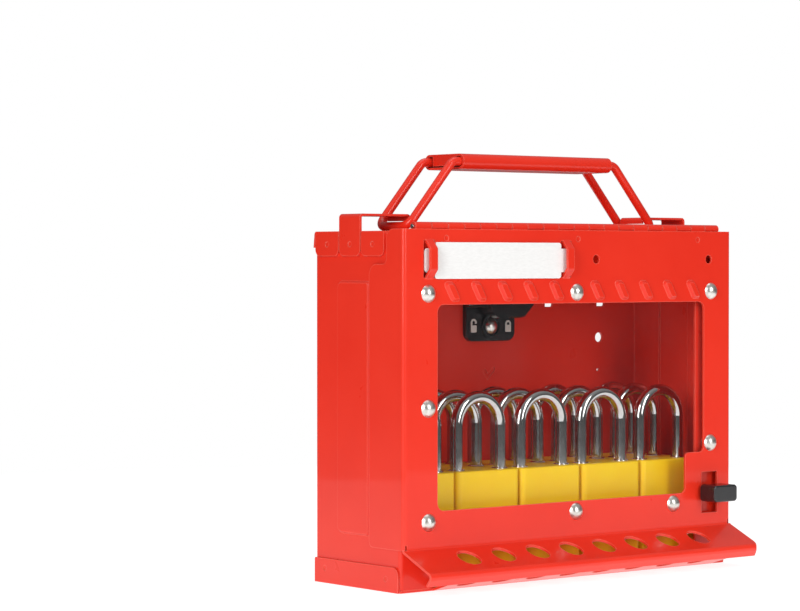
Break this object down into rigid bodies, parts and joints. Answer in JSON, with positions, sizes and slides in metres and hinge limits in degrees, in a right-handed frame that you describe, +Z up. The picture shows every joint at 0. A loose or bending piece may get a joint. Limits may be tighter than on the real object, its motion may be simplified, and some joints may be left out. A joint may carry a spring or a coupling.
{
  "type": "group lockout box",
  "caption": "Portable red steel group lockout box with a clear window, carry handle and a row of padlock holes along its door.",
  "frame": {"origin": "centre of the base on the floor plane, midway between the door's front face and the back wall", "axes": "+X to the right seen from the front, -Y out of the door, +Z up"},
  "size_m": [0.2286, 0.0984, 0.2199],
  "materials": {
    "red_paint": "gloss powder coat",
    "plated_steel": "polished",
    "rivet_metal": "satin",
    "black_plastic": "gloss",
    "washer_nylon": "matte",
    "icon_print": "printed",
    "clear_plastic": "clear",
    "white_card": "smooth",
    "yellow_body": "satin"
  },
  "bodies": {
    "case": {"back_shell": "red_paint", "top_panel": "red_paint", "bottom_panel": "red_paint", "handle_strap_left": "red_paint", "handle_strap_right": "red_paint", "hinge_leaf_case": "red_paint", "hinge_pin": "plated_steel", "latch_washer": "washer_nylon", "lock_base": "black_plastic", "lock_rivet": "rivet_metal", "lock_icons": "icon_print", "padlock_bodies": "yellow_body", "padlock_shackles": "plated_steel"},
    "door": {"door_panel": "red_paint", "hinge_leaf_door": "red_paint", "window_pane": "clear_plastic", "window_rivets": "rivet_metal", "label_card": "white_card"},
    "handle": {"handle_wire": "red_paint", "handle_grip": "red_paint"},
    "latch": {"latch_knob": "black_plastic", "latch_spindle": "plated_steel", "latch_nut": "plated_steel"},
    "wall_lock": {"lock_knob": "black_plastic", "lock_spindle": "plated_steel", "lock_cam": "plated_steel"}
  },
  "joints": [
    {"name": "door_hinge", "type": "hinge", "parent": "case", "child": "door", "pos_m": [0, -0.0336, 0.1818], "axis": [-1, 0, 0], "range_deg": [0, 200]},
    {"name": "latch_turn", "type": "hinge", "parent": "case", "child": "latch", "pos_m": [0.0983, -0.037, 0.0395], "axis": [0, -1, 0], "range_deg": [0, 90]},
    {"name": "handle_lift", "type": "slide", "parent": "case", "child": "handle", "axis": [0, 0, 1], "range_m": [0, 0.002]},
    {"name": "wall_lock_turn", "type": "hinge", "parent": "case", "child": "wall_lock", "pos_m": [0.0024, 0.037, 0.143], "axis": [0, -1, 0], "range_deg": [0, 90]}
  ]
}
